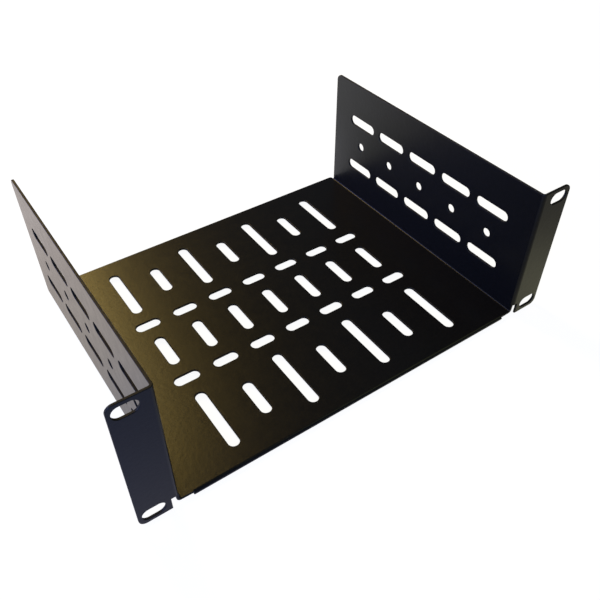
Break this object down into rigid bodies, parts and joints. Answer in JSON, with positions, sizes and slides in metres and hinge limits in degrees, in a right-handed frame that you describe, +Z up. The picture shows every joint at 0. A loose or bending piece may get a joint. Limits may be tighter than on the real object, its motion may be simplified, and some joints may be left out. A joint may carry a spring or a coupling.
{
  "type": "rack shelf",
  "caption": "Vented rack shelf folded from one black steel sheet, with slotted side walls and rack ears that bolt to the front posts.",
  "frame": {"origin": "centre of the four rack slots, on the front face of the ears", "axes": "+X to the right along the front, seen from the front; +Y to the back, away from the ears; +Z up, out of the open tray"},
  "size_m": [0.2688, 0.1841, 0.0882],
  "materials": {
    "powder_coat": "satin black powder coat with a fine grain"
  },
  "bodies": {
    "root": {"shelf": "powder_coat"}
  },
  "joints": []
}
